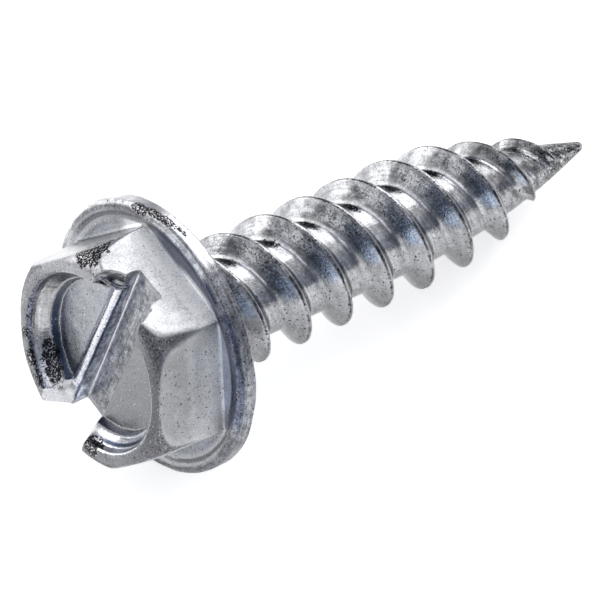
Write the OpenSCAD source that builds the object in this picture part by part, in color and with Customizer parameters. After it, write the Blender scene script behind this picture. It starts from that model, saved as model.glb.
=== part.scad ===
// Slotted hex washer head screw with a coarse two-start thread and a gimlet point.
// It lies as it comes to rest: the washer's rim and one thread crest touch the ground.
// The origin is the centre of the bearing face under the washer, and the tip points to +X.

/* [Shank and thread] */
// Length from the bearing face to the tip
screw_l = 19.05; // [14:0.05:40]
// Diameter over the thread crests
major_d = 4.8; // [4.2:0.05:6]
// Diameter of the core between the threads
root_d = 3.28; // [2.6:0.02:3.9]
// Distance along the axis from one crest to the next
crest_gap = 1.87; // [1.5:0.01:2.6]
// Number of thread starts
thread_starts = 2; // [1, 2]
// Width of the blunt top of a thread ridge
crest_w = 0.14; // [0.06:0.02:0.3]
// Slope of the ridge's flanks away from square to the axis
flank_deg = 33; // [20:1:38]
// Distance from the bearing face to where the ridge starts to rise
run_in_start = 0.1; // [0:0.05:1]
// Length over which the ridge rises to full height
run_in_l = 0.8; // [0.3:0.1:3]
// Diameter of the fillet where it leaves the bearing face
neck_d = 4.95; // [4.9:0.05:6.2]
// Length of the fillet, along the axis
neck_h = 0.6; // [0.2:0.02:0.8]
// Angle of the first crest round the axis, from the middle of the torn face
thread_turn = 114; // [0:1:360]
// Distance of that crest from the bearing face
first_crest = 1.31; // [0.5:0.01:2]

/* [Point] */
// Length of the core's tapered end
core_point_l = 9.05; // [5:0.05:12]
// Distance from the tip to where the crests start to run down
crest_point_l = 8.25; // [5:0.05:12]
// Distance from the tip to where the first start's run-down would meet the axis
crest_stop = 0.95; // [0.2:0.05:2]
// How much nearer to the tip the second start runs
second_start_lead = 0.65; // [0:0.05:0.9]
// Fullness of the core's point, where 1 is a straight cone
core_point_curve = 1.9; // [1:0.1:4]
// Fullness of the crests' run-down
crest_point_curve = 2; // [1:0.1:4]
// Diameter of the blunt tip
tip_d = 0.26; // [0.05:0.01:0.6]

/* [Washer] */
// Diameter of the washer
washer_d = 10.2; // [9.4:0.1:14]
// Thickness of the washer at its rim
washer_t = 0.78; // [0.5:0.02:1.5]
// Depth of the washer's shallow dish at the foot of the hexagon
washer_dish = 0.16; // [0.02:0.01:0.3]
// Bevel of the rim beside the bearing face
rim_bevel = 0.12; // [0.04:0.01:0.2]
// Width of the rounded front edge of the rim
rim_round = 0.22; // [0.06:0.01:0.25]

/* [Hexagon] */
// Distance across the flats
hex_af = 7.7; // [7:0.05:8.4]
// Height of the head from the bearing face to the top of its rim
head_h = 3.45; // [2.9:0.05:5]
// Radius of the blend where the hexagon meets the washer
base_fillet = 0.32; // [0.1:0.02:0.5]
// Diameter of the round blank at the foot of the hexagon
blank_d = 8.92; // [8.3:0.02:9.6]
// Diameter of the round blank where its top starts to round over
shoulder_d = 8.6; // [8:0.02:9.4]
// Width of the rounded shoulder, across the axis
shoulder_w = 0.75; // [0.3:0.01:0.8]
// Depth of the rounded shoulder, along the axis
shoulder_h = 0.85; // [0.3:0.01:1.2]

/* [Recess] */
// Diameter of the recess at the top of its rim
recess_d = 6.75; // [6:0.05:6.9]
// Diameter of the recess where its steep lip ends
lip_d = 6.55; // [5.8:0.05:6.7]
// Depth of the steep lip
lip_depth = 0.3; // [0.1:0.02:0.5]
// Outer diameter of the ledge inside the recess
ledge_d = 5.98; // [5.2:0.02:6.4]
// Depth of the ledge below the rim
ledge_depth = 0.7; // [0.55:0.02:0.9]
// Width of the ledge
ledge_w = 0.08; // [0.04:0.01:0.2]
// Diameter of the recess floor
floor_d = 5.72; // [4.8:0.02:5.8]
// Depth of the recess floor below the rim
floor_depth = 1.05; // [0.95:0.02:1.3]

/* [Slot] */
// Width of the slot at its floor
slot_w = 1.3; // [1:0.02:1.7]
// Depth of the slot below the rim, on the axis
slot_depth = 1.62; // [1.3:0.02:1.9]
// Slope of the slot's floor along its length
slot_lean = 2; // [0:0.5:5]
// Turn of the slot away from square to the flats it opens through
slot_turn = -1.3; // [-4:0.1:4]
// Height above the slot's floor where its left wall starts to flare
left_flare_rise = 0.42; // [0.1:0.02:0.5]
// Outward reach of the left wall's bevel at the recess floor
left_bevel_w = 0.3; // [0.1:0.02:0.4]
// Outward reach of the left wall at the rim
left_flare_w = 0.68; // [0.45:0.02:0.9]
// Height above the slot's floor where its right wall starts to flare
right_flare_rise = 0.55; // [0.2:0.02:0.8]
// Outward reach of the right wall at the rim
right_flare_w = 0.52; // [0.2:0.02:0.8]

/* [Pose] */
// Turn of the screw about its own axis as it lies
roll_deg = 190.9; // [0:0.1:360]

/* [Hidden] */
$fn = 96;

major_r = major_d / 2;
root_r = root_d / 2;
washer_r = washer_d / 2;
lead = crest_gap * thread_starts;
// Where the foot of the hexagon meets the dished washer
foot_t = washer_t - washer_dish;
// How far the shank is carried into the head, and cutters past a surface
sink = 0.45;
past = 1;
// How far one body is tucked inside the next, so that no edge only touches a face
tuck = 0.01;

// The shank's mesh: columns round the axis, and four corners for each ridge
columns = 40;
corners = 4;
// Least ridge height that its foot's width is worked out from
least_ridge = 0.15;
// Length of the bare tip beyond the last ring of corners, and of the bare start before the first
bare_tip = 0.14;
bare_start = 0.05;

crest_count = ceil((screw_l + sink) / crest_gap) + 2 * thread_starts;
first_index = -2 * thread_starts - 2;

// Radius of the core and of the crests at a distance z from the bearing face
function run_down(z, full_r, last_r, start, end, curve) =
    full_r - (full_r - last_r) * pow(min(1, max(0, (z - start) / (end - start))), curve);
function core_r(z) =
    run_down(z, root_r, tip_d / 2, screw_l - core_point_l, screw_l, core_point_curve);
function crest_end(c) = screw_l - crest_stop + second_start_lead * (abs(c) % thread_starts);
function full_crest_r(z, c) =
    max(
        core_r(z),
        run_down(z, major_r, 0, screw_l - crest_point_l, crest_end(c), crest_point_curve)
    );
function rise(z) = min(1, max(0, (z - run_in_start) / run_in_l));
function ridge_r(z, c) = core_r(z) + (full_crest_r(z, c) - core_r(z)) * rise(z);

// Place along the axis of crest number c in column j, and of each corner f of its ridge
function crest_z(c, j) = first_crest + crest_gap * c + lead * (j / columns - thread_turn / 360);
function foot_reach(z, c) =
    crest_w / 2 + max(least_ridge, full_crest_r(z, c) - core_r(z)) * tan(flank_deg);
function corner_reach(z, c, side) =
    side == 0 ? -foot_reach(z, c)
    : side == 1 ? -crest_w / 2
    : side == 2 ? crest_w / 2
    : foot_reach(z, c);
function crest_of(f) = floor(f / corners);
function side_of(f) = f - corners * crest_of(f);
function corner_z(f, j) =
    let (c = crest_of(f), zc = crest_z(c, j))
    zc + corner_reach(min(zc, screw_l - bare_tip), c, side_of(f));
function corner_r(f, j) =
    let (z = corner_z(f, j), side = side_of(f))
    side == 1 || side == 2 ? ridge_r(z, crest_of(f)) : core_r(z);
function on_ring(r, j, z) = [r * cos(360 * j / columns), r * sin(360 * j / columns), z];

// First and last corner that lie on the shank in column j, with room for the end rings
function corners_in(j) =
    [for (f = [corners * first_index : corners * (first_index + crest_count + 2 * thread_starts)])
        if (corner_z(f, j) > bare_start - sink && corner_z(f, j) < screw_l - bare_tip) f];

// Shank, thread and point as one closed surface.
// Each column of corners is joined to the next, which is a little further along the helix.
module shank() {
    lists = [for (j = [0 : columns]) corners_in(j)];
    lows = [for (l = lists) l[0]];
    highs = [for (l = lists) l[len(l) - 1]];
    counts = [for (j = [0 : columns - 1]) highs[j] - lows[j] + 2];
    starts = [for (j = 0, n = 0; j < columns; n = n + counts[j], j = j + 1) n];
    tip = starts[columns - 1] + counts[columns - 1];

    points = [
        for (j = [0 : columns - 1])
            for (i = [0 : counts[j] - 1])
                i == 0 ? on_ring(core_r(-sink), j, -sink)
                : let (f = lows[j] + i - 1) on_ring(corner_r(f, j), j, corner_z(f, j)),
        [0, 0, screw_l]
    ];
    // The first column returns as the last, its corners numbered one turn of the helix lower
    ring = [for (j = [0 : columns]) starts[j % columns]];

    faces = [
        [for (j = [0 : columns - 1]) ring[j]],
        for (j = [0 : columns - 1])
            let (
                low_a = lows[j],
                low_b = lows[j + 1],
                high_a = highs[j],
                high_b = highs[j + 1],
                // Index of corner f in this column and in the next
                base_a = ring[j] + 1 - low_a,
                base_b = ring[j + 1] + 1 - low_b
            )
            each [
                [ring[j], base_b + low_b, ring[j + 1]],
                for (f = [low_b : 1 : low_a - 1]) [ring[j], base_b + f + 1, base_b + f],
                [ring[j], base_a + low_a, base_b + low_a],
                for (f = [low_a : 1 : high_b - 1]) [base_a + f, base_a + f + 1, base_b + f],
                for (f = [low_a : 1 : high_b - 1]) [base_a + f + 1, base_b + f + 1, base_b + f],
                for (f = [high_b : 1 : high_a - 1]) [base_a + f, base_a + f + 1, base_b + high_b],
                [base_a + high_a, tip, base_b + high_b]
            ]
    ];
    polyhedron(points, faces);
}

// Round disc under the hexagon, with a shallow dish and a rounded rim
module washer() {
    rotate_extrude()
        polygon([
            [0, 0],
            [washer_r - rim_bevel, 0],
            [washer_r, -rim_bevel],
            [washer_r, rim_round - washer_t],
            [washer_r - rim_round / 3, rim_round / 3 - washer_t],
            [washer_r - rim_round, -washer_t],
            [hex_af / 2 - base_fillet, -foot_t],
            [0, -foot_t]
        ]);
}

// Fillet between the bearing face and the shank, in straight steps round a quarter circle
module neck() {
    neck_w = neck_d / 2 - root_r + tuck;
    rotate_extrude()
        polygon([
            [0, -foot_t / 2],
            [neck_d / 2, -foot_t / 2],
            for (a = [0 : 15 : 90])
                [neck_d / 2 - neck_w * sin(a), neck_h * (1 - cos(a))],
            [0, neck_h]
        ]);
}

// Round blank that the hexagon is trimmed from: a slight taper and a rounded shoulder
module blank() {
    shoulder_t = head_h - shoulder_h;
    rotate_extrude()
        polygon([
            [0, -foot_t / 2],
            [blank_d / 2, -foot_t / 2],
            [blank_d / 2, -foot_t - base_fillet],
            for (a = [0 : 10 : 90])
                [shoulder_d / 2 - shoulder_w * (1 - cos(a)), -shoulder_t - shoulder_h * sin(a)],
            [0, -head_h]
        ]);
}

// Hexagonal prism with a flat square to +X
module hex_prism(across_flats, low, high) {
    translate([0, 0, low])
        rotate([0, 0, 30])
            cylinder(r = across_flats / 2 / cos(30), h = high - low, $fn = 6);
}

// Blend at the foot of the hexagon, in straight steps round a quarter circle
module hex_foot() {
    steps = 4;
    reach = function (i) base_fillet * (1 - sin(90 * i / steps)) - tuck;
    height = function (i) base_fillet * (1 - cos(90 * i / steps));
    for (i = [0 : steps - 1])
        translate([0, 0, -foot_t - height(i + 1)])
            rotate([0, 0, 30])
                cylinder(
                    r1 = (hex_af / 2 + reach(i + 1)) / cos(30),
                    r2 = (hex_af / 2 + reach(i)) / cos(30),
                    h = height(i + 1) - height(i),
                    $fn = 6
                );
}

// Round recess in the top: a steep lip, a sloping wall, a ledge and a flat floor
module recess() {
    rotate_extrude()
        polygon([
            [0, floor_depth - head_h],
            [floor_d / 2, floor_depth - head_h],
            [ledge_d / 2 - ledge_w, ledge_depth - head_h],
            [ledge_d / 2, ledge_depth - head_h],
            [lip_d / 2, lip_depth - head_h],
            [recess_d / 2, -head_h],
            [recess_d / 2, -head_h - past],
            [0, -head_h - past]
        ]);
}

// Slot across the head. Its left side is bevelled and flared, its right side only flared.
module slot() {
    half = slot_w / 2;
    floor_t = slot_depth - head_h;
    recess_t = floor_depth - head_h;
    translate([0, 0, floor_t])
        rotate([0, slot_lean, slot_turn])
            rotate([90, 0, 90])
                linear_extrude(height = washer_d + past, center = true)
                    polygon([
                        [-half, 0],
                        [half, 0],
                        [half, -right_flare_rise],
                        [half + right_flare_w, -slot_depth],
                        [half + right_flare_w, -slot_depth - past],
                        [-half - left_flare_w, -slot_depth - past],
                        [-half - left_flare_w, -slot_depth],
                        [-half - left_bevel_w, recess_t - floor_t],
                        [-half, -left_flare_rise]
                    ]);
}

module head() {
    difference() {
        union() {
            washer();
            intersection() {
                blank();
                hex_prism(hex_af, -head_h - past, 0);
            }
            hex_foot();
        }
        recess();
        slot();
    }
}

// Tilt at which the rim and the lowest crest touch the ground together
down_turn = -roll_deg;
down_crests = [
    for (c = [first_index : first_index + crest_count + 2 * thread_starts])
        let (z = first_crest + crest_gap * c + lead * (down_turn - thread_turn) / 360)
        if (z > run_in_start + run_in_l && z < screw_l) [z, ridge_r(z, c)]
];
lie_deg = min([
    for (crest = down_crests) atan2(washer_r - crest[1], crest[0] + rim_bevel),
    atan2(washer_r, screw_l + rim_bevel)
]);

module screw() {
    color("silver")
        rotate([0, 90 + lie_deg, 0])
            rotate([0, 0, roll_deg])
                union() {
                    shank();
                    neck();
                    head();
                }
}

screw();
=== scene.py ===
import math

import bmesh
import bpy
import numpy as np
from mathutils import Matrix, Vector


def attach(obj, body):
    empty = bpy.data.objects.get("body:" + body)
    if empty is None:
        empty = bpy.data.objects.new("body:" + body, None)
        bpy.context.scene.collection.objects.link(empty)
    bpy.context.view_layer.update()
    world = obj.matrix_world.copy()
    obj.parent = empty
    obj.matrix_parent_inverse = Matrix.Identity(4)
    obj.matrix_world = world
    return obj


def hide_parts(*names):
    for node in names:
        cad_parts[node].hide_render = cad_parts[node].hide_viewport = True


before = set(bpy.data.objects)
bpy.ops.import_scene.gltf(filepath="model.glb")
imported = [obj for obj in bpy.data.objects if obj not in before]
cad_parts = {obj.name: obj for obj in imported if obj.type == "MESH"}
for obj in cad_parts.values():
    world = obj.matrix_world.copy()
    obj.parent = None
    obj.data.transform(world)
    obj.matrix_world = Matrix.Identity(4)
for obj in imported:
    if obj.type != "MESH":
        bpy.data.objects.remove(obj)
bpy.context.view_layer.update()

# Sizes are in millimetres in the screw's own frame: the origin is the centre of the bearing
# face, z runs to the tip, h = -z runs up through the head, and x points to the torn face.
MM = 0.001
UPWARD = np.array([1.0, 1.0, -1.0])

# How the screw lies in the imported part: its roll, and the fall of its axis towards the tip
ROLL_DEG = 190.9
LIE_DEG = 12.5306
FLOOR_Z = -4.9524

# Shank and thread
SCREW_L = 19.05
MAJOR_R = 2.4
ROOT_R = 1.64
CREST_GAP = 1.87
STARTS = 2
LEAD = CREST_GAP * STARTS
FLANK_TAN = math.tan(math.radians(33))
CREST_W = 0.13
CREST_ROUND = 0.05
ROOT_FILLET = 0.16
FIRST_CREST = 1.31
THREAD_TURN = 114
RUN_IN = (0.1, 0.8)
TIP_R = 0.13
TIP_NOSE = 0.16

# How far from the tip the core and the crests start to run down, how far from it they end, and
# the power of the curve between
CORE_POINT = (9.05, 0.0, 1.9)
CREST_POINT = (8.25, 0.95, 2.0)
SECOND_START_LEAD = 0.65

# Shank mesh: points round the axis, and rows from the middle of one groove to the next,
# measured from the crest between them
COLUMNS = 132
ROW_MARKS = np.array([
    -0.935, -0.86, -0.78, -0.70, -0.62, -0.54, -0.46, -0.38, -0.30, -0.22, -0.15, -0.10, -0.06,
    -0.02, 0.02, 0.06, 0.10, 0.15, 0.22, 0.30, 0.38, 0.46, 0.54, 0.62, 0.70, 0.78, 0.86])
ROW_OF_FIRST_CREST = -4
SPARE_CRESTS = 9

# Head
HEX_R = 3.85
HEAD_H = 3.45
NECK_R = 2.475
NECK_H = 0.6
SLOT_CORNER_R = 0.05
WASHER_CORNER_R = 0.05

# Burr over the slot's torn mouth, and the hollow under it: middle line and radii
BURR = [(3.42, -1.62, 3.30), (3.38, -1.42, 3.17), (3.30, -1.20, 3.02), (3.24, -1.00, 2.92),
        (3.22, -0.82, 2.78), (3.26, -0.66, 2.60), (3.32, -0.60, 2.46)]
BURR_R = [0.05, 0.08, 0.10, 0.11, 0.11, 0.09, 0.05]
HOLLOW = [(3.22, -1.55, 3.22), (3.10, -1.30, 2.98), (3.03, -1.05, 2.78), (3.02, -0.84, 2.62),
          (3.06, -0.66, 2.48)]
HOLLOW_R = [0.05, 0.08, 0.10, 0.10, 0.06]

# Head mesh: box and step of the grid it is drawn from
HEAD_BOX = ((-5.3, -5.3, -3.65), (5.3, 5.3, 0.75))
GRID = 0.060

# Centres, half sizes and strengths of the patches where the plating is rough and its glints are
# painted as black and bright specks
GLINT_PATCHES = [
    (3.50, -2.24, 2.86, 0.62, 0.58, 0.78, 0.92),
    (-2.35, -1.95, 2.84, 0.60, 0.70, 0.26, 0.85),
    (-2.72, -1.42, 2.98, 0.35, 0.45, 0.22, 0.75),
    (4.24, -2.78, 0.65, 0.40, 0.52, 0.17, 1.0),
    (4.60, -2.12, 0.57, 0.34, 0.56, 0.17, 1.0),
    (4.88, -1.50, 0.47, 0.26, 0.50, 0.15, 1.0),
    (5.01, -0.95, 0.40, 0.16, 0.36, 0.10, 0.7),
    (-2.98, 1.5, 3.30, 0.55, 0.55, 0.30, 0.98),
    (-2.6, -2.3, 3.42, 0.35, 0.35, 0.1, 0.8),
    (-3.15, -1.75, 3.40, 0.3, 0.35, 0.12, 0.7),
    (-1.95, -2.95, 3.42, 0.35, 0.22, 0.1, 0.7)]

# Colours: zinc, the black and bright specks in it, which paint glints where the plating is rough,
# the bright flecks of its painted sparkle, and its pits
ZINC = (0.43, 0.434, 0.446, 1)
SPECK_BLACK = (0.02, 0.02, 0.025, 1)
SPECK_BRIGHT = (0.85, 0.85, 0.86, 1)
FLECK = (0.88, 0.88, 0.89, 1)
PIT = (0.06, 0.06, 0.08, 1)
WHITE = (1, 1, 1, 1)
FLOOR_GREY = (0.8, 0.8, 0.8, 1)

# How white the floor is to the camera, and to the metal that mirrors it
FLOOR_SEEN = 0.66
FLOOR_MIRRORED = 0.5

# The room is dim on the camera's side. Its soft round patches have an azimuth, an elevation, an
# inner and an outer radius, all in degrees, and a colour: a pale ceiling, a pale wall, the white
# backdrop behind the screw, and the narrow gap between the backdrop and the lamp
ROOM_DIM = (0.245, 0.265, 0.31, 1)
BACKDROP = (125, 15, 32, 50)
ROOM_PATCHES = [
    ((0, 90, 12, 52), (0.88, 0.88, 0.90, 1)),
    ((12, 34, 22, 50), (0.80, 0.80, 0.83, 1)),
    (BACKDROP, (1.0, 1.0, 1.0, 1)),
    ((68, 37, 7, 16), (0.03, 0.03, 0.05, 1))]

# Lamps: name, direction, distance and size in metres, and brightness
LAMPS_FACE = (0.006, 0.0, 0.0)
LAMPS = [
    ("key_back", (0.72, 0.33, 0.60), 0.40, (0.30, 0.34), 2.2),
    ("behind", (-0.25, 0.92, 0.32), 0.55, (0.34, 0.26), 1.5),
    ("fill_front", (-0.20, -0.60, 0.78), 0.60, (0.30, 0.30), 0.7)]

CAMERA_LENS = 1500
CAMERA_AT = (-325.7219, -423.4843, 689.144)
CAMERA_DOWN_DEG = 52.14768
CAMERA_TURN_DEG = -38.07056

LATTICE = 32
lattice = np.random.RandomState(11).uniform(-1.0, 1.0, (LATTICE, LATTICE, LATTICE))


# Noise and distances

def noise(p, size, shift=0.0):
    """Smooth value noise in -1..1, with features about `size` across."""
    q = p / size + shift
    i = np.floor(q).astype(int)
    f = q - i
    f = f * f * (3 - 2 * f)
    i0 = i % LATTICE
    i1 = (i + 1) % LATTICE
    total = 0.0
    for dx in (0, 1):
        ix = i1[:, 0] if dx else i0[:, 0]
        wx = f[:, 0] if dx else 1 - f[:, 0]
        for dy in (0, 1):
            iy = i1[:, 1] if dy else i0[:, 1]
            wy = f[:, 1] if dy else 1 - f[:, 1]
            for dz in (0, 1):
                iz = i1[:, 2] if dz else i0[:, 2]
                wz = f[:, 2] if dz else 1 - f[:, 2]
                total = total + lattice[ix, iy, iz] * wx * wy * wz
    return total


def blend(t, a, b):
    """Smooth step from 0 to 1 as t goes from a to b."""
    s = np.clip((t - a) / (b - a), 0, 1)
    return s * s * (3 - 2 * s)


def near(a, b):
    """1 where the distance `a` is nought, falling to 0 at `b`."""
    return 1 - blend(np.abs(a), 0.3 * b, b)


def polygon(x, y, corners):
    """Signed distance to a polygon whose corners may move from point to point."""
    best = None
    sign = np.ones(x.shape)
    for i in range(len(corners)):
        ax, ay = corners[i]
        bx, by = corners[i - 1]
        ex, ey = bx - ax, by - ay
        wx, wy = x - ax, y - ay
        t = np.clip((wx * ex + wy * ey) / (ex * ex + ey * ey), 0, 1)
        d = (wx - ex * t) ** 2 + (wy - ey * t) ** 2
        best = d if best is None else np.minimum(best, d)
        above, below, side = y >= ay, y < by, ex * wy > ey * wx
        turn = (above & below & side) | (~above & ~below & ~side)
        sign = np.where(turn, -sign, sign)
    return sign * np.sqrt(best)


def common(a, b, r):
    """Intersection of two bodies with its edge rounded to radius r."""
    return np.minimum(-r, np.maximum(a, b)) + np.hypot(np.maximum(a + r, 0), np.maximum(b + r, 0))


def joined(a, b, r):
    """Union of two bodies with a fillet of radius r."""
    return np.maximum(r, np.minimum(a, b)) - np.hypot(np.maximum(r - a, 0), np.maximum(r - b, 0))


def capsule_chain(p, points, radii):
    """Distance to a chain of rounded links."""
    best = np.full(len(p), 1e3)
    for a, b, ra, rb in zip(points[:-1], points[1:], radii[:-1], radii[1:]):
        a, b = np.array(a), np.array(b)
        e = b - a
        t = np.clip(((p - a) @ e) / (e @ e), 0, 1)
        d = np.linalg.norm(p - a - t[:, None] * e, axis=1) - (ra + (rb - ra) * t)
        best = np.minimum(best, d)
    return best


# Head

def across_slot(x, y):
    """Distance from the slot's middle line, which is turned by 1.3 degrees."""
    return y * 0.9997 + x * 0.0227


def slot_floor(x):
    return 1.83 + 0.036 * x


def slot_distance(x, across, h):
    """Distance to the slot's cross-section. Both mouths are worn differently from the middle."""
    floor = slot_floor(x) + SLOT_CORNER_R
    to_torn = blend(x, 2.5, 3.5)
    to_far = blend(-x, 2.6, 3.6)

    def at(middle, torn, far):
        return middle + to_torn * (torn - middle) + to_far * (far - middle)

    # The corners lie inside the cut by the radius that rounds them
    corners = [
        (-0.61, floor),
        (0.61, floor),
        (at(0.66, 0.63, 0.61), at(2.36, 2.50, 2.36)),
        (at(0.71, 0.75, 0.69), at(2.50, 2.70, 2.6)),
        (at(0.83, 0.83, 0.83), at(2.80, 2.64, 2.85)),
        (at(0.97, 1.11, 0.97), at(3.13, 3.18, 3.10)),
        (at(1.13, 1.19, 1.13), at(3.50, 3.50, 3.46)),
        (at(1.65, 1.75, 1.65), 4.7),
        (at(-1.85, -1.85, -1.75), 4.7),
        (at(-1.28, -1.29, -1.23), at(3.45, 3.46, 3.40)),
        (at(-1.00, -0.88, -0.87), at(2.52, 2.72, 2.76)),
        (at(-0.75, -0.67, -0.65), at(2.47, 2.55, 2.45)),
        (at(-0.64, -0.63, -0.62), at(2.36, 2.44, 2.32))]
    return polygon(across, h, corners) - SLOT_CORNER_R


def hexagon_distance(x, y):
    d = None
    for turn in (0, 60, 120):
        c, s = math.cos(math.radians(turn)), math.sin(math.radians(turn))
        side = np.abs(x * c + y * s) - HEX_R
        d = side if d is None else common(d, side, 0.09)
    return d


def blank_distance(r, h):
    """Distance to the round blank, with its shoulder drawn as an arc."""
    arc = [(4.3 - 0.75 * (1 - math.cos(math.radians(a))), 2.6 + 0.85 * math.sin(math.radians(a)))
           for a in range(0, 91, 10)]
    return polygon(r, h, [(-1.0, 0.3), (4.46, 0.3), (4.46, 0.94)] + arc + [(-1.0, HEAD_H)])


def head_distance(p):
    x, y, h = p[:, 0], p[:, 1], -p[:, 2]
    r = np.hypot(x, y)
    angle = np.arctan2(y, x)

    # Washer: slightly uneven round rim, dished top with a raised edge
    ring = np.stack([np.cos(angle) * 5, np.sin(angle) * 5, h * 0.3], 1)
    wave = 0.022 * noise(ring, 1.3) + 0.012 * noise(ring, 0.45, 5.3)
    dip = 0.020 * noise(ring, 1.1, 9.1)
    washer = polygon(r - wave, h - dip * blend(r, 4.3, 5.0), [
        (-1.0, WASHER_CORNER_R), (4.97, WASHER_CORNER_R), (5.05, 0.14), (5.05, 0.58),
        (4.96, 0.68), (4.84, 0.73), (4.70, 0.70), (4.56, 0.60), (4.2, 0.55), (3.5, 0.55),
        (-1.0, 0.55)]) - WASHER_CORNER_R

    # Hexagon trimmed from a round blank
    body = common(hexagon_distance(x, y), blank_distance(r, h), 0.05)
    d = joined(washer, body, 0.13)

    # Recess with a rounded rim, a steep lip, a ledge and a flat floor
    recess = polygon(r, h, [
        (-1.0, 2.40), (2.86, 2.40), (2.91, 2.75), (2.99, 2.75), (3.275, 3.15), (3.375, 3.45),
        (3.7, 4.6), (-1.0, 4.6)])
    d = common(d, -recess, 0.10)

    # Slot, with torn mouths
    across = across_slot(x, y)
    ragged = blend(np.abs(x), 2.4, 3.4)
    warp = 0.05 * ragged * noise(p, 0.34, 3.7) + 0.006 * noise(p, 0.8, 1.9)
    d = common(d, -slot_distance(x, across + warp, h + 0.6 * warp), 0.035)

    # Bead thrown up along the slot's left wall
    wander = 0.008 * noise(p, 0.5, 3.1)
    bead = np.hypot((across + wander + 0.87) / 1.6, h - 2.37) - 0.10
    bead = np.maximum(bead, np.abs(x) - 2.75)
    bead = np.maximum(bead, r - 3.0)
    d = joined(d, bead, 0.03)

    # Burr: the torn rim curls over the slot's mouth above a hollow
    bend = np.stack([noise(p, 0.3, 2.2), noise(p, 0.3, 6.1), noise(p, 0.3, 8.4)], 1) * 0.035
    bent = p * UPWARD + bend
    d = joined(d, capsule_chain(bent, BURR, BURR_R), 0.05)
    d = common(d, -capsule_chain(bent, HOLLOW, HOLLOW_R), 0.03)

    # Fillet under the washer
    neck = polygon(r, -h, [(-1.0, -0.3), (NECK_R, -0.3), (NECK_R, 0.0), (2.15, 0.12),
                           (1.86, 0.35), (1.6, NECK_H), (-1.0, NECK_H)])
    d = np.minimum(d, neck)

    # Hammered and handled surface
    return d + 0.006 * noise(p, 0.55, 4.4) + 0.0035 * noise(p, 0.21, 7.7)


def surface_net(distance, low, high, step):
    """Closed quad mesh of the surface distance = 0, with a point in each cell it crosses."""
    axes = [np.arange(lo, hi + step, step) for lo, hi in zip(low, high)]
    shape = tuple(len(a) for a in axes)
    field = np.empty(shape)
    gy, gz = np.meshgrid(axes[1], axes[2], indexing="ij")
    for i, xv in enumerate(axes[0]):
        slab = np.stack([np.full(gy.size, xv), gy.ravel(), gz.ravel()], 1)
        field[i] = distance(slab).reshape(gy.shape)
    inside = field < 0
    cells = tuple(n - 1 for n in shape)
    corner = {}
    count = np.zeros(cells, int)
    for dx in (0, 1):
        for dy in (0, 1):
            for dz in (0, 1):
                part = tuple(slice(d, d + n) for d, n in zip((dx, dy, dz), cells))
                corner[dx, dy, dz] = part
                count += inside[part]
    active = (count > 0) & (count < 8)
    number = np.full(cells, -1)
    number[active] = np.arange(active.sum())
    where = np.argwhere(active)

    # Each point starts at the mean of the crossings on its cell's edges
    total = np.zeros((len(where), 3))
    weight = np.zeros(len(where))
    for axis in range(3):
        others = [a for a in range(3) if a != axis]
        for u in (0, 1):
            for v in (0, 1):
                start = np.zeros(3, int)
                start[others[0]], start[others[1]] = u, v
                end = start.copy()
                end[axis] = 1
                a = field[corner[tuple(start)]][active]
                b = field[corner[tuple(end)]][active]
                cross = (a < 0) != (b < 0)
                t = np.where(cross, a / np.where(cross, a - b, 1), 0)
                total += np.where(cross, 1, 0)[:, None] * (start + t[:, None] * (end - start))
                weight += cross
    origin = np.array([a[0] for a in axes])
    points = origin + (where + total / weight[:, None]) * step

    # One quad for each grid edge that crosses the surface
    quads = []
    for axis in range(3):
        u, v = [(1, 2), (2, 0), (0, 1)][axis]
        lo = [slice(1, n - 1) for n in shape]
        lo[axis] = slice(0, shape[axis] - 1)
        hi = list(lo)
        hi[axis] = slice(1, shape[axis])
        a, b = inside[tuple(lo)], inside[tuple(hi)]
        spots = np.argwhere(a != b)
        flip = a[a != b]
        spots[:, u] += 1
        spots[:, v] += 1
        ring = []
        for du, dv in ((-1, -1), (0, -1), (0, 0), (-1, 0)):
            s = spots.copy()
            s[:, u] += du
            s[:, v] += dv
            ring.append(number[s[:, 0], s[:, 1], s[:, 2]])
        quad = np.stack(ring, 1)
        quad[~flip] = quad[~flip][:, ::-1]
        quads.append(quad)
    return points, np.concatenate(quads)


def slope(distance, p, e):
    g = np.empty(p.shape)
    for k in range(3):
        step = np.zeros(3)
        step[k] = e
        g[:, k] = (distance(p + step) - distance(p - step)) / (2 * e)
    return g


def settle(distance, points, reach, rounds=3):
    """Moves points onto the surface, and gives the surface's directions there."""
    start = points.copy()
    for _ in range(rounds):
        g = slope(distance, points, 0.004)
        d = distance(points)
        size = np.maximum((g * g).sum(1), 0.25)
        points = points - g * (d / size)[:, None]
        off = points - start
        far = np.maximum(np.linalg.norm(off, axis=1) / reach, 1)
        points = start + off / far[:, None]
    g = slope(distance, points, 0.012)
    return points, g / np.maximum(np.linalg.norm(g, axis=1), 1e-9)[:, None]


# Shank

def run_down(z, full, last, start, end, curve):
    return full - (full - last) * np.clip((z - start) / (end - start), 0, 1) ** curve


def core_radius(z):
    length, stop, curve = CORE_POINT
    r = run_down(z, ROOT_R, TIP_R, SCREW_L - length, SCREW_L - stop, curve)
    round_off = np.sqrt(np.clip(1 - ((z - SCREW_L + TIP_NOSE) / TIP_NOSE) ** 2, 0, 1))
    return np.where(z > SCREW_L - TIP_NOSE, r * round_off, r)


def crest_radius(z, start):
    length, stop, curve = CREST_POINT
    end = SCREW_L - stop + SECOND_START_LEAD * start
    return np.maximum(core_radius(z), run_down(z, MAJOR_R, 0.0, SCREW_L - length, end, curve))


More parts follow.
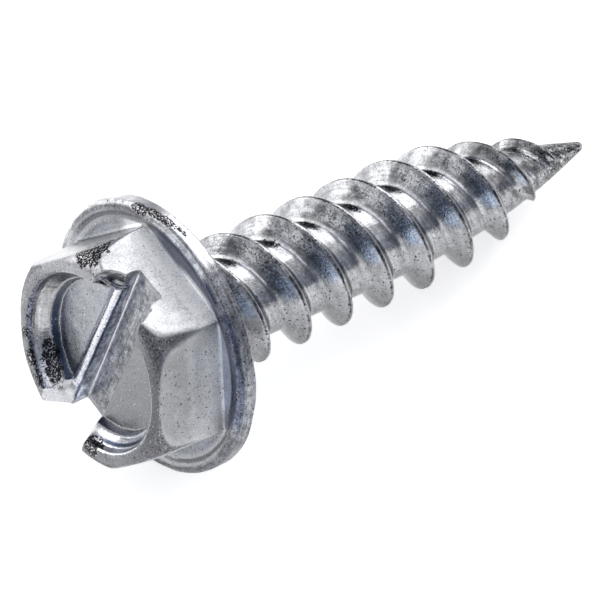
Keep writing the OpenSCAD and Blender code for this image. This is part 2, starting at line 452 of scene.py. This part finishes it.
def shank_mesh():
    """Points and quads of the shank. The rows of points follow the helix."""
    per_crest = len(ROW_MARKS)
    rows = (int(SCREW_L / CREST_GAP) + SPARE_CRESTS) * per_crest
    j = np.arange(COLUMNS)
    k = np.arange(rows)
    crest = ROW_OF_FIRST_CREST + k // per_crest
    rel = ROW_MARKS[k % per_crest]
    base = FIRST_CREST + CREST_GAP * crest + rel
    shift = LEAD * (j / COLUMNS - THREAD_TURN / 360)
    z = base[:, None] + shift[None, :]
    rel = np.broadcast_to(rel[:, None], z.shape)
    start = np.broadcast_to((np.abs(crest) % STARTS)[:, None], z.shape)
    z = np.clip(z, -0.35, SCREW_L)
    phi = np.broadcast_to(2 * np.pi * j[None, :] / COLUMNS, z.shape)

    core = core_radius(z)
    rise = np.clip((z - RUN_IN[0]) / RUN_IN[1], 0, 1)
    top = core + (crest_radius(z, start) - core) * rise
    along = np.stack([np.cos(phi) * 2.2, np.sin(phi) * 2.2, z], 2).reshape(-1, 3)
    wobble = noise(along, 0.9, 2.6).reshape(z.shape)
    nick = noise(along, 0.24, 8.8).reshape(z.shape)
    top = top + (0.020 * wobble - 0.030 * np.clip(nick - 0.45, 0, 1)) * (top - core > 0.1)
    drop = (np.maximum(np.abs(rel + 0.012 * wobble) - CREST_W / 2, 0)) / FLANK_TAN
    flank = top - drop

    # Rounded crest, and the fillet where the flank meets the core
    m = np.clip(0.5 + 0.5 * (top - flank) / CREST_ROUND, 0, 1)
    ridge = top * (1 - m) + flank * m - CREST_ROUND * m * (1 - m) * 0.6
    fillet = np.maximum(ROOT_FILLET * np.minimum(1, (top - core) / 0.3), 1e-4)
    m = np.clip(0.5 + 0.5 * (ridge - core) / fillet, 0, 1)
    r = core * (1 - m) + ridge * m + fillet * m * (1 - m)
    r = np.where(top - core < 0.004, core, r)

    # Rolled core: shallow rings along the helix and a slightly uneven skin
    rolled = np.stack([rel * 9, np.cos(phi) * 0.9 + z * 0.05, np.sin(phi) * 0.9], 2)
    lines = noise(rolled.reshape(-1, 3), 0.8, 1.3).reshape(z.shape)
    skin = noise(along, 0.35, 5.5).reshape(z.shape)
    body = blend(SCREW_L - z, 0.05, 0.8)
    r = r + body * (0.008 * lines + 0.007 * skin) * (r < top - 0.05)
    r = np.where(z >= SCREW_L, 0, r)
    points = np.stack([r * np.cos(phi), r * np.sin(phi), z], 2).reshape(-1, 3)

    quads = []
    for col in range(COLUMNS):
        nxt = (col + 1) % COLUMNS
        # Past the last column the helix returns one turn further up the list
        off = 0 if nxt else per_crest * STARTS
        i = np.arange(0, rows - 1 - off)
        quads.append(np.stack([i * COLUMNS + col, i * COLUMNS + nxt + off * COLUMNS,
                               (i + 1 + off) * COLUMNS + nxt, (i + 1) * COLUMNS + col], 1))
    return points, np.concatenate(quads)


# Plating, wear, and painted light and shade

class FinishAndPaintedLight:
    """Plating, wear, and painted light and shade on a set of points.

    The colour multiplies zinc's own, and carries painted highlights, reflections and shade.
    Grain, spot and drawn say how strong the crystals, the specks and the drawn lines are, gloss
    is the roughness, and lay places the drawn lines.
    """

    def __init__(self, count, **levels):
        self.levels = {name: np.full(count, level) for name, level in levels.items()}
        self.levels["colour"] = np.full((count, 3), 1.0)
        self.lay = None

    def over(self, mask, **levels):
        """Moves the named levels to new ones, as far as the mask goes."""
        for name, level in levels.items():
            old = self.levels[name]
            share = mask[:, None] if old.ndim == 2 else mask
            self.levels[name] = old + (np.asarray(level) - old) * share

    def tint(self, *layers):
        for mask, colour in layers:
            self.over(mask, colour=colour)

    def shade(self, *layers):
        """Multiplies the colour, as far as each mask goes."""
        for mask, factor in layers:
            self.over(mask, colour=self.levels["colour"] * factor)

    def columns(self, *names):
        return np.column_stack([self.levels[name] for name in names])


def head_finish_and_painted_light(p, n):
    x, y, h = p[:, 0], p[:, 1], -p[:, 2]
    r = np.hypot(x, y)
    turn = np.degrees(np.arctan2(y, x))
    up = -n[:, 2]
    hexagon = hexagon_distance(x, y)
    blank = blank_distance(r, h)
    finish_and_painted_light = FinishAndPaintedLight(len(p), grain=0.10, drawn=0.0, spot=0.02, gloss=0.24)

    # Surfaces that look along the axis get painted shade and a little more grain; the shade is
    # lighter on the left of the recess floor and deeper on parts of the rim's top
    top = blend(up, 0.75, 0.95) * blend(h, 1.2, 1.5)
    left_floor = top * blend(-y, -0.4, 0.4) * (h < 2.6)
    finish_and_painted_light.over(top, colour=(0.60, 0.60, 0.62), grain=0.13)
    finish_and_painted_light.over(left_floor, colour=(0.73, 0.745, 0.775), spot=0.075)
    finish_and_painted_light.tint((top * (h > 3.3) * near(turn - 65, 62), (0.28, 0.28, 0.30)),
                (top * (h > 3.3) * near(turn + 98, 40), (0.40, 0.40, 0.42)))

    # Flats: the torn one gets a painted highlight and is frosted, the next one a painted
    # highlight over its lower part, and both a brighter painted highlight and more frost at the
    # foot
    flat = near(hexagon, 0.05) * blend(h, 0.62, 0.70) * (np.abs(up) < 0.45)
    foot_zone = 1 - blend(h, 1.15, 1.75)
    torn = flat * (np.abs(turn) < 30)
    next_face = flat * near(turn - 60, 40)
    finish_and_painted_light.over(flat, grain=0.12, gloss=0.30)
    finish_and_painted_light.over(torn, colour=(1.38, 1.38, 1.39), grain=0.20, spot=-0.2, gloss=0.50)
    finish_and_painted_light.over(torn * foot_zone, colour=2.3, gloss=0.82)
    finish_and_painted_light.over(next_face, spot=0.09, gloss=0.50)
    finish_and_painted_light.over(next_face * (1 - blend(h, 1.9, 2.3)), colour=(1.32, 1.33, 1.35))
    finish_and_painted_light.over(next_face * foot_zone, colour=(2.2, 2.2, 2.16), gloss=0.68)

    # Forged skin of the shoulders between the flats: darker, rougher and grainier, with painted
    # shade and a painted highlight that change round the head
    forged = blend(-hexagon, 0.03, 0.12) * near(blank, 0.08)
    forged = forged * (1 - blend(up, 0.86, 0.97)) * (h > 0.9)
    # Painted highlight on the shoulders, with less grain and fewer specks
    painted_sheen = near(turn + 30, 34)
    finish_and_painted_light.tint((forged, (0.60, 0.60, 0.62)),
                (forged * (1 - near(turn, 82)), (0.38, 0.38, 0.40)),
                (forged * near(turn + 72, 28), (0.25, 0.25, 0.27)),
                (forged * near(turn - 30, 34), (0.40, 0.405, 0.42)),
                (forged * painted_sheen, (1.45, 1.41, 1.42)))
    finish_and_painted_light.over(forged, gloss=0.45)
    finish_and_painted_light.over(forged * (1 - 0.5 * painted_sheen), grain=0.6)
    finish_and_painted_light.over(forged * (1 - painted_sheen), spot=0.12)

    # Recess wall, bright with painted highlights and crossed by a navy painted reflection, the
    # navy painted shade on the step at its foot, and painted shade and highlights on the rim's
    # edges, land and outer rounding
    wall = blend(h, 2.70, 2.78) * near(r - 3.2, 0.42) * (up < 0.8)
    lit = wall * near(turn - 128, 44)
    riser = near(r - 2.89, 0.10) * blend(h, 2.43, 2.50) * (h < 2.76) * (up < 0.8)
    edge = near(r - 3.37, 0.10) * blend(h, 3.2, 3.35)
    land = top * blend(h, 3.30, 3.40) * near(turn + 165, 95)
    outer = near(blank, 0.05) * near(h - 3.45, 0.10) * near(up - 0.7, 0.35)
    finish_and_painted_light.over(wall, grain=0.12, drawn=0.5, gloss=0.15)
    finish_and_painted_light.over(wall * near(turn + 160, 40), colour=(1.8, 1.84, 1.92), spot=0.16)
    finish_and_painted_light.tint((lit, (2.15, 2.16, 2.2)),
                (lit * near(h - 3.02, 0.12), (0.12, 0.15, 0.26)),
                (riser, (0.50, 0.52, 0.62)),
                (riser * near(turn + 140, 75), (0.20, 0.26, 0.42)))
    finish_and_painted_light.over(edge * near(turn + 130, 80), colour=(0.32, 0.35, 0.50), spot=0.28)
    finish_and_painted_light.over(edge * near(turn - 60, 60), colour=(1.15, 1.15, 1.2))
    finish_and_painted_light.over(land, colour=(0.46, 0.47, 0.49), spot=0.10)
    finish_and_painted_light.over(outer * near(turn + 160, 90), colour=(0.40, 0.41, 0.46))
    finish_and_painted_light.over(outer, spot=0.34)

    # Slot: painted highlights on the lip and the left wall's foot, a bluish painted reflection on
    # the left wall, and painted shade at the brink, under the bead, on the floor, on the right
    # wall and on the recess floor beside it
    across = across_slot(x, y)
    floor = slot_floor(x)
    inside = np.abs(x) < 3.6
    lip = near(across + 0.88, 0.20) * near(h - 2.44, 0.12) * (r < 3.0)
    brink = near(across + 1.10, 0.07) * near(h - 2.40, 0.08) * (r < 2.9)
    left = near(across + 0.68, 0.14) * blend(h, floor + 0.06, floor + 0.12) * (h < 2.44) * inside
    under = near(across + 0.70, 0.10) * near(h - 2.35, 0.07) * inside
    foot = near(across + 0.63, 0.06) * near(h - floor - 0.02, 0.07) * inside
    bed = blend(h, floor + 0.12, floor + 0.04) * (np.abs(across) < 0.56) * inside
    right = near(across - 0.68, 0.12) * near(h - 2.1, 0.45) * (up < 0.5) * inside
    finish_and_painted_light.over(top * blend(across, 0.66, 0.72) * (h < 2.5), colour=(0.54, 0.54, 0.55))
    finish_and_painted_light.over(lip, colour=(1.65, 1.65, 1.69), grain=0.3)
    finish_and_painted_light.over(brink, colour=(0.30, 0.32, 0.42))
    finish_and_painted_light.over(left, colour=(1.5, 1.6, 1.95), drawn=0.9, spot=0.12)
    finish_and_painted_light.tint((under, (0.16, 0.20, 0.30)), (foot, 1.7))
    finish_and_painted_light.over(bed, colour=(0.53, 0.54, 0.565), grain=0.16, drawn=0.8)
    finish_and_painted_light.over(right, colour=(0.75, 0.76, 0.82))

    # Washer: dished, with a ring and a crowned rim. Bands of painted highlight, painted shade and
    # navy painted reflection run round them, with a thin painted dark line above the rim's outer
    # side and painted shade along its bottom edge
    washer = (1 - blend(h, 0.80, 0.95)) * blend(hexagon, 0.01, 0.05)
    front = blend(turn, -30, -16) * (1 - blend(turn, 76, 90))
    upper = blend(turn, -95, -78) * (1 - blend(turn, -34, -22))
    lower = blend(turn, 76, 90) * (1 - blend(turn, 145, 165))
    dish = washer * (1 - blend(r, 4.34, 4.44))
    ring = washer * blend(r, 4.34, 4.44) * (1 - blend(r, 4.76, 4.84))
    crown = washer * blend(r, 4.76, 4.84) * (h > 0.60)
    side = washer * (h < 0.60) * blend(r, 4.98, 5.04)
    rim = np.maximum(crown, side)
    beside_next = blend(turn, 16, 34)
    outer_edge = blend(r, 4.95, 4.99)
    # Painted highlight on the dish at the foot of the torn flat
    painted_foot_glint = dish * (1 - blend(hexagon, 0.12, 0.26))
    finish_and_painted_light.over(rim, grain=0.28, drawn=0.7, spot=0.08, gloss=0.30)
    finish_and_painted_light.tint(
        (dish * near(turn + 95, 60), (0.45, 0.47, 0.51)),
        (dish * near(turn + 34, 18), (2.2, 2.2, 2.22)),
        (dish * front * (1 - beside_next), (0.52, 0.56, 0.66)),
        (painted_foot_glint * near(turn - 12, 18), 2.3),
        (dish * front * beside_next, (1.05, 1.14, 1.34)),
        (dish * lower, (0.70, 0.73, 0.79)),
        (ring * front, (0.27, 0.30, 0.42)),
        (ring * near(turn - 64, 16), (0.10, 0.12, 0.21)),
        (ring * upper, (0.62, 0.62, 0.65)),
        (crown * upper * (1 - outer_edge), (0.27, 0.27, 0.29)),
        (crown * upper * outer_edge, (1.35, 1.35, 1.37)),
        (crown * near(turn + 2, 20), (1.35, 1.38, 1.46)),
        (crown * near(turn - 18, 10) * (1 - outer_edge), (0.16, 0.19, 0.31)),
        (crown * front * blend(turn, 24, 30), (0.34, 0.38, 0.51)),
        (crown * lower, (0.42, 0.43, 0.46)),
        (side * upper, (1.1, 1.1, 1.11)),
        (side * front * (1 - blend(turn, 5, 12)), (1.45, 1.45, 1.46)),
        (side * front * blend(turn, 5, 12), (0.62, 0.63, 0.67)),
        (side * lower, (0.45, 0.46, 0.48)),
        (near(r - 5.06, 0.035) * near(h - 0.645, 0.05) * front, (0.36, 0.38, 0.46)),
        (washer * near(r - 4.68, 0.05) * upper, (0.25, 0.26, 0.30)),
        (near(r - 5.07, 0.06) * near(h - 0.04, 0.10), (0.42, 0.42, 0.45)))
    finish_and_painted_light.over(side * near(turn + 35, 55), grain=0.09, drawn=0.2, spot=-0.12)
    finish_and_painted_light.over(np.maximum(rim * near(turn - 40, 50), dish * lower), spot=0.12)
    finish_and_painted_light.over(near(r - 5.08, 0.05) * near(h - 0.10, 0.16), spot=0.24)

    # Burr, darker and bluer, and painted shade in the hollow under it
    q = p * UPWARD
    burr = near(np.maximum(capsule_chain(q, BURR, BURR_R), 0), 0.12)
    hollow = near(np.maximum(capsule_chain(q, HOLLOW, HOLLOW_R), 0), 0.08)
    finish_and_painted_light.over(burr, colour=(0.55, 0.56, 0.62), grain=0.45)
    finish_and_painted_light.over(hollow * 0.85, colour=(0.16, 0.17, 0.24))

    # Patches where the plating is rough: its glints are painted as black and bright specks, with
    # painted shade on the torn side
    ragged = 0.4 * noise(p, 0.30, 6.6) + 0.4 * noise(p, 0.13, 1.6)
    for cx, cy, ch, sx, sy, sh, strength in GLINT_PATCHES:
        d = ((x - cx) / sx) ** 2 + ((y - cy) / sy) ** 2 + ((h - ch) / sh) ** 2 + ragged
        glint_patch = 1 - blend(d, 0.7, 1.1)
        finish_and_painted_light.levels["spot"] = np.maximum(finish_and_painted_light.levels["spot"], strength * glint_patch)
        finish_and_painted_light.shade((glint_patch * (x > 0), 0.45))

    # End of the wall at the far mouth, with a painted highlight
    end = blend(n[:, 1], 0.45, 0.7) * (x < -2.75) * (y < -0.6) * (h > 2.42)
    finish_and_painted_light.over(end, colour=(1.75, 1.75, 1.76))

    # Fine drawn lines run round the axis, but along the slot on its floor and left wall
    round_axis = np.stack([r * 11, h * 11, np.radians(turn) * 3], 1)
    along_slot = np.stack([across * 13, h * 13, x * 1.3], 1)
    finish_and_painted_light.lay = np.where((bed + left > 0.5)[:, None], along_slot, round_axis)
    return finish_and_painted_light


def shank_finish_and_painted_light(p):
    turn = np.arctan2(p[:, 1], p[:, 0])
    r, z = np.hypot(p[:, 0], p[:, 1]), p[:, 2]
    rel = z - LEAD * (turn / (2 * np.pi) - THREAD_TURN / 360) - FIRST_CREST
    rel = (rel + CREST_GAP / 2) % CREST_GAP - CREST_GAP / 2
    height = r - core_radius(z)
    ridge = blend(height, 0.10, 0.25)
    around = (np.degrees(turn) - 24.2 + 180) % 360 - 180
    finish_and_painted_light = FinishAndPaintedLight(len(p), grain=0.13, drawn=0.40, spot=0.03, gloss=0.13)
    spin = np.stack([rel * 6, np.cos(turn) * 1.2, np.sin(turn) * 1.2 + z * 0.3], 1)
    finish_and_painted_light.levels["colour"] *= (1 + 0.25 * noise(spin, 0.42, 2.9))[:, None]

    # The flank that faces the head: bands of painted highlight, painted shade and bluish painted
    # reflection round the axis, and painted dark reflections in patches
    flank = near(rel + 0.30, 0.26) * ridge
    patchy = blend(noise(p, 0.30, 3.3), -0.4, 0.3)
    # Painted dark reflections in patches on the flank
    dark_reflection = near(around + 60, 16) * near(rel + 0.46, 0.13) * ridge * (1 - patchy)
    below = blend(around, 24, 36) * (1 - blend(around, 130, 150))
    finish_and_painted_light.tint((flank * near(around + 78, 40), (1.40, 1.40, 1.42)),
                (flank * near(around + 108, 26), (0.80, 0.80, 0.81)),
                (flank * near(around + 69, 15), (2.1, 2.1, 2.12)),
                (flank * near(around + 55, 14) * (1 - 0.6 * patchy), (0.45, 0.45, 0.48)),
                (flank * near(around + 7, 22), (0.60, 0.66, 0.77)),
                (flank * near(around + 34, 15) * (0.4 + 0.6 * patchy), 2.3),
                (flank * near(around - 11, 18), (0.80, 0.96, 1.20)),
                (dark_reflection, (0.10, 0.10, 0.12)))
    finish_and_painted_light.over(flank * near(around + 20, 50), grain=0.75)
    finish_and_painted_light.over(flank * near(around + 20, 45), spot=0.12)
    finish_and_painted_light.over(flank * near(around + 45, 50), drawn=0.75)
    finish_and_painted_light.over(flank * near(around + 36, 20), gloss=0.36)
    finish_and_painted_light.over(below, spot=0.15, drawn=0.15)

    # Crest, with a broken dark line of painted shade along it, and in the groove beside it a
    # bluish painted shade at the foot, a painted glint and a painted shadow
    crest = near(rel + 0.04, 0.045) * blend(height, 0.12, 0.3)
    land = near(rel - 0.04, 0.05) * blend(height, 0.12, 0.3)
    broken = blend(noise(p, 0.22, 4.8), -0.35, 0.25)
    foot = near(rel + 0.66, 0.08) * near(around + 10, 60)
    glint = near(rel + 0.55, 0.055) * near(around + 42, 42)
    shadow = near(around + 53, 22) * near(rel + 0.72, 0.22) * (z > 0.9)
    finish_and_painted_light.tint((crest * (0.25 + 0.75 * broken), (0.14, 0.14, 0.16)),
                (land, (0.85, 0.85, 0.87)),
                (foot * 0.8, (0.45, 0.46, 0.54)),
                (glint, 2.0),
                (shadow, (0.09, 0.09, 0.10)))
    finish_and_painted_light.over(crest, spot=0.36)
    finish_and_painted_light.over(shadow, spot=0.5)

    # Lower side, groove and open core: painted shade on the lower side and in the groove, and
    # bands of painted highlight and shade round the axis on the groove and core
    lower = blend(around, 52, 70) * (1 - blend(around, 105, 125))
    hollow = near(rel + 0.74, 0.22)
    open_core = blend(rel, 0.25, 0.35)
    finish_and_painted_light.shade((lower, 0.68),
                 (blend(around, 74, 90) * (1 - blend(around, 120, 140)), 0.75),
                 (hollow * blend(around, 22, 32) * (1 - lower), 0.80),
                 (hollow * near(around + 35, 14), 1.3),
                 (open_core * near(around - 6, 14), 1.35),
                 (open_core * near(around + 36, 18), 0.84))

    # The point is rougher, and darker with painted shade that is deepest on some sides, and
    # painted dark reflections lie in patches just before it
    tip = blend(z, 15.5, 17.5)
    # Painted dark reflections in patches just before the point
    patch_space = np.stack([rel * 3, np.degrees(turn) / 40, z * 0.8], 1)
    dark_reflection_patches = blend(noise(patch_space, 0.5, 7.1), -0.1, 0.35) * blend(z, 13.5, 15.0)
    finish_and_painted_light.shade((blend(z, 12.5, 15.5) * near(around + 40, 60), 0.62), (tip, 0.66))
    finish_and_painted_light.tint((tip * near(around - 84, 48), (0.16, 0.16, 0.18)))
    finish_and_painted_light.shade((dark_reflection_patches * 0.8, 0.28))
    finish_and_painted_light.over(tip, grain=0.5, drawn=1.0)
    finish_and_painted_light.over(tip * (1 - crest), spot=0.26)

    # Rolling lines follow the helix
    unrolled = 2 * np.pi * (z / LEAD - turn / (2 * np.pi))
    finish_and_painted_light.lay = np.stack([np.cos(unrolled) * 7.5, np.sin(unrolled) * 7.5, z * 0.35], 1)
    return finish_and_painted_light


# Pieces

def clean_mesh(name, points, faces):
    """Mesh without doubled points or flat faces."""
    mesh = bpy.data.meshes.new(name)
    mesh.from_pydata(points.tolist(), [], faces.tolist())
    bm = bmesh.new()
    bm.from_mesh(mesh)
    bmesh.ops.remove_doubles(bm, verts=bm.verts, dist=1e-4)
    bmesh.ops.dissolve_degenerate(bm, dist=1e-5, edges=bm.edges)
    loose = [v for v in bm.verts if not v.link_faces]
    bmesh.ops.delete(bm, geom=loose, context="VERTS")
    bm.to_mesh(mesh)
    bm.free()
    mesh.update()
    return mesh


def mesh_arrays(mesh):
    """Points, their directions, and faces of a mesh."""
    points = np.empty(len(mesh.vertices) * 3)
    mesh.vertices.foreach_get("co", points)
    directions = np.array([v.vector[:] for v in mesh.vertex_normals])
    return points.reshape(-1, 3), directions, [tuple(f.vertices) for f in mesh.polygons]


def to_world(p):
    """From the screw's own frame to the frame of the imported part, in millimetres."""
    a, b = math.radians(ROLL_DEG), math.radians(90 + LIE_DEG)
    x = p[:, 0] * math.cos(a) - p[:, 1] * math.sin(a)
    y = p[:, 0] * math.sin(a) + p[:, 1] * math.cos(a)
    z = p[:, 2]
    return np.stack([x * math.cos(b) + z * math.sin(b), y, -x * math.sin(b) + z * math.cos(b)], 1)


def place(name, data):
    obj = bpy.data.objects.new(name, data)
    bpy.context.scene.collection.objects.link(obj)
    return obj


def make_piece(name, points, directions, faces, finish_and_painted_light):
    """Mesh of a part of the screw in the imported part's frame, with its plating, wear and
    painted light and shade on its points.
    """
    mesh = bpy.data.meshes.new(name)
    mesh.from_pydata((to_world(points) * MM).tolist(), [], faces)
    mesh.update()
    mesh.polygons.foreach_set("use_smooth", [True] * len(mesh.polygons))
    mesh.normals_split_custom_set_from_vertices(to_world(directions).tolist())
    for label, kind, key, values in (
            ("plating_and_painted_light", "FLOAT_COLOR", "color", finish_and_painted_light.columns("colour", "drawn")),
            ("lay", "FLOAT_VECTOR", "vector", finish_and_painted_light.lay),
            ("wear", "FLOAT_VECTOR", "vector", finish_and_painted_light.columns("grain", "spot", "gloss"))):
        layer = mesh.attributes.new(label, kind, "POINT")
        layer.data.foreach_set(key, values.astype(np.float32).ravel())
    return place(name, mesh)


net_points, net_quads = surface_net(head_distance, *HEAD_BOX, GRID)
head_points, head_normals = settle(head_distance, net_points, GRID)
head = make_piece("head_finish_and_painted_light", head_points, head_normals, net_quads.tolist(),
                  head_finish_and_painted_light(head_points, head_normals))

shank_draft = clean_mesh("shank_draft", *shank_mesh())
shank_points, shank_normals, shank_faces = mesh_arrays(shank_draft)
bpy.data.meshes.remove(shank_draft)
shank = make_piece("shank_finish_and_painted_light", shank_points, shank_normals, shank_faces,
                   shank_finish_and_painted_light(shank_points))


# Materials

class Tree:
    """Adds nodes to a node tree. A value is a number, a colour or another node's output."""

    def __init__(self, owner):
        owner.use_nodes = True
        self.nodes, self.links = owner.node_tree.nodes, owner.node_tree.links

    def put(self, value, socket):
        if isinstance(value, bpy.types.NodeSocket):
            self.links.new(value, socket)
        else:
            socket.default_value = value

    def add(self, kind, inputs, output=0, **settings):
        node = self.nodes.new("ShaderNode" + kind)
        for name, setting in settings.items():
            setattr(node, name, setting)
        for key, value in inputs.items():
            self.put(value, node.inputs[key])
        return node.outputs[output]

    def maths(self, kind, a, b):
        return self.add("Math", {0: a, 1: b}, operation=kind)

    def remap(self, value, lo, hi, out_lo=0.0, out_hi=1.0, kind="LINEAR"):
        return self.add("MapRange", {"Value": value, "From Min": lo, "From Max": hi,
                                     "To Min": out_lo, "To Max": out_hi},
                        "Result", interpolation_type=kind)

    def mix(self, kind, a, b, amount=1.0):
        return self.add("Mix", {0: amount, 6: a, 7: b}, 2, data_type="RGBA", blend_type=kind)

    def in_metal(self):
        """1 for rays that have been mirrored."""
        return self.maths("MAXIMUM", self.add("LightPath", {}, "Is Glossy Ray"),
                          self.add("LightPath", {}, "Is Transmission Ray"))


def make_zinc():
    mat = bpy.data.materials.new("bright_zinc_plate_and_painted_light")
    tree = Tree(mat)
    maths, remap, mix = tree.maths, tree.remap, tree.mix
    shader = tree.nodes["Principled BSDF"]
    surface = tree.add("TexCoord", {}, "Object")

    def grain(scale, detail, rough=0.6, vector=surface):
        return tree.add("TexNoise", {"Scale": scale, "Detail": detail, "Roughness": rough,
                                     "Vector": vector}, "Fac")

    def attribute(name, output):
        return tree.add("Attribute", {}, output, attribute_name=name)

    plate_and_painted_light, drawn = attribute("plating_and_painted_light", "Color"), attribute("plating_and_painted_light", "Alpha")
    lines = grain(1.0, 3, 0.6, attribute("lay", "Vector"))
    worn = attribute("wear", "Vector")
    grainy, spotted, dull = (tree.add("SeparateXYZ", {0: worn}, axis) for axis in "XYZ")

    # Zinc: cloudy, with a fine crystalline grain whose depth varies from place to place
    cloud = remap(grain(900, 3), 0.3, 0.7, 0.90, 1.10)
    fine = remap(grain(15000, 2, 0.75), 0.32, 0.68, -1.3, 1.3)
    blotch = remap(grain(3800, 2.5, 0.6), 0.36, 0.64, -0.5, 0.5)
    blotch = maths("ADD", maths("MULTIPLY", blotch, drawn), 1.0)
    level = maths("MULTIPLY", cloud, maths("ADD", maths("MULTIPLY", fine, grainy), 1.0))
    streaks = maths("MULTIPLY", remap(lines, 0.35, 0.65, -0.45, 0.45), drawn)
    level = maths("MULTIPLY", level, maths("ADD", streaks, 1.0))
    level = maths("MULTIPLY", level, blotch)
    base = mix("MULTIPLY", plate_and_painted_light, ZINC)
    base = mix("MULTIPLY", base, level)

    # Pits over the whole of it, and black and bright specks as far as the spot level goes, which
    # paint the glints of rough patches
    deep = maths("ADD", maths("MULTIPLY", spotted, 0.55), 0.255)
    pits = remap(maths("SUBTRACT", grain(10500, 1.5, 0.5), deep), 0.0, 0.025)
    base = mix("MULTIPLY", base, mix("MIX", PIT, WHITE, pits))
    flake = grain(15500, 2.5, 0.7)
    share = remap(spotted, 0.0, 1.0, 0.30, 0.62)
    black = remap(maths("SUBTRACT", flake, share), -0.03, 0.02, 1.0, 0.0)
    bright = maths("MULTIPLY", remap(flake, 0.55, 0.62), spotted)
    base = mix("MIX", base, SPECK_BLACK, black)
    base = mix("MIX", base, SPECK_BRIGHT, bright)
    # Bright flecks: painted sparkle of the zinc
    fleck = maths("ADD", grain(14500, 1, 0.5), maths("MULTIPLY", grainy, 0.06))
    base = mix("MIX", base, FLECK, remap(fleck, 0.71, 0.77, 0.0, 0.7))
    tree.put(base, shader.inputs["Base Color"])

    # The dullest places are frosted, so less of them is mirror
    rough = maths("ADD", dull, remap(grain(2500, 4), 0.3, 0.7, -0.06, 0.08))
    tree.put(rough, shader.inputs["Roughness"])
    tree.put(remap(dull, 0.62, 0.82, 1.0, 0.3), shader.inputs["Metallic"])
    height = maths("ADD", grain(9000, 5, 0.65), maths("MULTIPLY", lines, drawn))
    bump = tree.add("Bump", {"Strength": 0.45, "Distance": 0.00002, "Height": height}, "Normal")
    tree.put(bump, shader.inputs["Normal"])
    return mat


zinc = make_zinc()
for piece in (head, shank):
    piece.data.materials.append(zinc)
    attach(piece, "root")
    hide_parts("screw")


# Floor, light and camera

def make_floor():
    """Pale sheet that is white to the camera and, near the screw, to the metal."""
    mesh = bpy.data.meshes.new("floor")
    s, z = 3.0, FLOOR_Z * MM
    mesh.from_pydata([(-s, -s, z), (s, -s, z), (s, s, z), (-s, s, z)], [], [(0, 1, 2, 3)])
    mat = bpy.data.materials.new("pale_floor")
    tree = Tree(mat)
    shader = tree.nodes["Principled BSDF"]
    shader.inputs["Roughness"].default_value = 0.9
    shader.inputs["Base Color"].default_value = FLOOR_GREY

    # In the metal the sheet fades with its distance, and is whiter behind the screw
    where = tree.add("TexCoord", {}, "Object")
    far = tree.add("VectorMath", {0: where}, "Value", operation="LENGTH")
    mirrored = tree.remap(far, 0.03, 0.08, FLOOR_MIRRORED, 0.0, "SMOOTHSTEP")
    behind = tree.remap(tree.add("SeparateXYZ", {0: where}, "Y"), 0.0, 0.02, 1.0, 2.2)
    mirrored = tree.maths("MULTIPLY", tree.maths("MULTIPLY", tree.in_metal(), behind), mirrored)
    seen = tree.maths("MULTIPLY", tree.add("LightPath", {}, "Is Camera Ray"), FLOOR_SEEN)
    glow = tree.add("Emission", {"Color": WHITE,
                                 "Strength": tree.maths("MAXIMUM", seen, mirrored)})
    both = tree.add("AddShader", {0: shader.outputs[0], 1: glow})
    tree.put(both, tree.nodes["Material Output"].inputs["Surface"])
    mesh.materials.append(mat)
    return place("floor", mesh)


make_floor()


def make_world():
    """Room whose patches light the screw. The camera sees white where its rays reach it."""
    world = bpy.data.worlds.new("studio")
    tree = Tree(world)
    ray_direction = tree.add("TexCoord", {}, "Generated")

    def share_of(azimuth, elevation, inner, outer):
        """1 in a soft round patch of the room."""
        a, e = math.radians(azimuth), math.radians(elevation)
        middle = (math.cos(e) * math.cos(a), math.cos(e) * math.sin(a), math.sin(e))
        dot = tree.add("VectorMath", {0: ray_direction, 1: middle}, "Value",
                       operation="DOT_PRODUCT")
        return tree.remap(dot, math.cos(math.radians(outer)), math.cos(math.radians(inner)),
                          kind="SMOOTHSTEP")

    room = ROOM_DIM
    for patch, colour in ROOM_PATCHES:
        room = tree.mix("MIX", room, colour, share_of(*patch))
    sky = tree.nodes["Background"]
    tree.put(room, sky.inputs["Color"])
    white = tree.add("Background", {"Color": WHITE, "Strength": 1.0})
    in_metal = tree.maths("MULTIPLY", share_of(*BACKDROP), tree.in_metal())
    is_white = tree.maths("MAXIMUM", tree.add("LightPath", {}, "Is Camera Ray"), in_metal)
    both = tree.add("MixShader", {0: is_white, 1: sky.outputs[0], 2: white})
    tree.put(both, tree.nodes["World Output"].inputs["Surface"])
    return world


bpy.context.scene.world = make_world()


def soft_box(name, direction, distance, size, radiance):
    """Square lamp that faces the screw from a direction, with a given brightness of its face."""
    lamp = bpy.data.lights.new(name, "AREA")
    lamp.shape = "RECTANGLE"
    lamp.size, lamp.size_y = size
    lamp.energy = radiance * math.pi * size[0] * size[1]
    lamp.color = (1, 1, 1)
    obj = place(name, lamp)
    d = np.array(direction, float)
    d /= np.linalg.norm(d)
    obj.location = np.array(LAMPS_FACE) + d * distance
    obj.rotation_euler = Vector(-d).to_track_quat("-Z", "Y").to_euler()


for settings in LAMPS:
    soft_box(*settings)

camera = bpy.data.cameras.new("camera")
camera.sensor_width = 36
camera.lens = CAMERA_LENS
camera.clip_start = 0.05
camera.clip_end = 20
eye = place("camera", camera)
eye.location = [v * MM for v in CAMERA_AT]
eye.rotation_euler = (math.radians(90 - CAMERA_DOWN_DEG), 0, math.radians(CAMERA_TURN_DEG))
bpy.context.scene.camera = eye

bpy.context.scene.view_settings.view_transform = "Standard"
